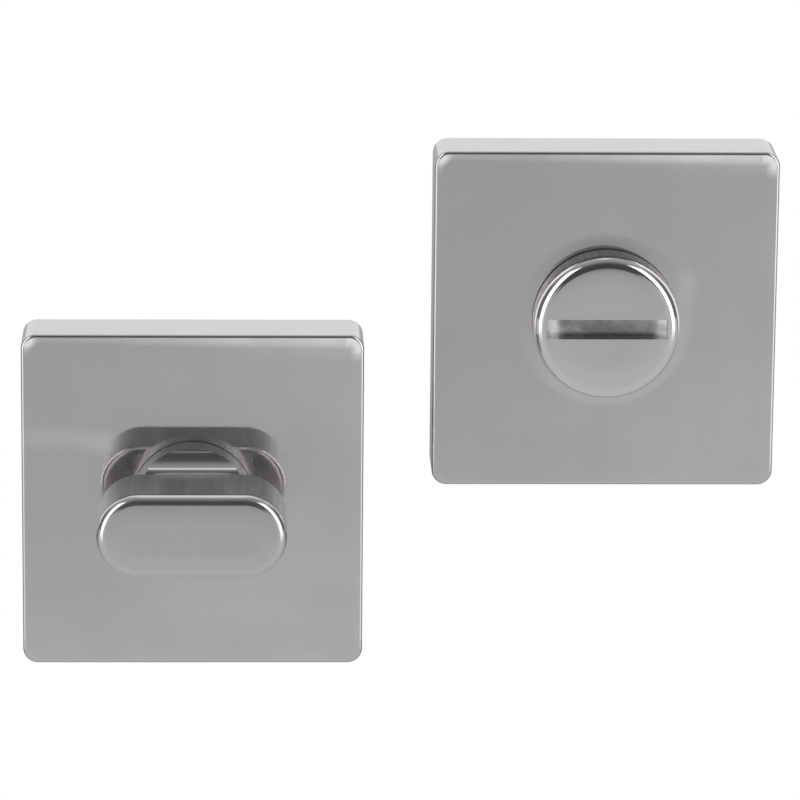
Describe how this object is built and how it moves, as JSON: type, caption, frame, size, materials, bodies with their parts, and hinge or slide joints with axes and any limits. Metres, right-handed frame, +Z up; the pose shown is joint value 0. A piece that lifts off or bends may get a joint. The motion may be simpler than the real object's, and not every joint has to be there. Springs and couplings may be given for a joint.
{
  "type": "bathroom thumb turn lock",
  "caption": "Bathroom lock set: a thumb turn with a stadium grip on a square polished rose, and a coin-slot emergency release on a matching rose, with spindle, bolts and sleeves.",
  "frame": {"origin": "on the axis of the thumb turn's spindle, in the plane of the door face behind its rose", "axes": "+X to the right across the door as the user sees it, +Y into the door along the spindle, +Z up"},
  "size_m": [0.11, 0.0822, 0.0774],
  "materials": {
    "polished_steel": "polished stainless steel",
    "black_nylon": "moulded black nylon",
    "white_nylon": "moulded light grey nylon",
    "zinc_steel": "bright zinc plated steel",
    "spring_steel": "phosphated spring steel"
  },
  "bodies": {
    "roses": {"turn_rose_cover": "polished_steel", "turn_bush": "black_nylon", "turn_base_plate": "white_nylon", "turn_fixing_bolts": "zinc_steel", "release_rose_cover": "polished_steel", "release_bush": "black_nylon", "release_base_plate": "white_nylon", "release_sleeve_nuts": "zinc_steel"},
    "turn": {"turn_knob": "polished_steel", "turn_spring_washer": "spring_steel", "turn_circlip": "spring_steel", "spindle": "zinc_steel", "spindle_set_screw": "spring_steel"},
    "release": {"release_disc": "polished_steel", "release_spring_washer": "spring_steel", "release_circlip": "spring_steel"}
  },
  "joints": [
    {"name": "turn_rotation", "type": "hinge", "parent": "roses", "child": "turn", "pos_m": [0, 0, 0], "axis": [0, 1, 0], "range_deg": [0, 90]},
    {"name": "release_rotation", "type": "hinge", "parent": "roses", "child": "release", "pos_m": [0.06, 0, 0.0274], "axis": [0, -1, 0], "range_deg": [0, 90]}
  ]
}
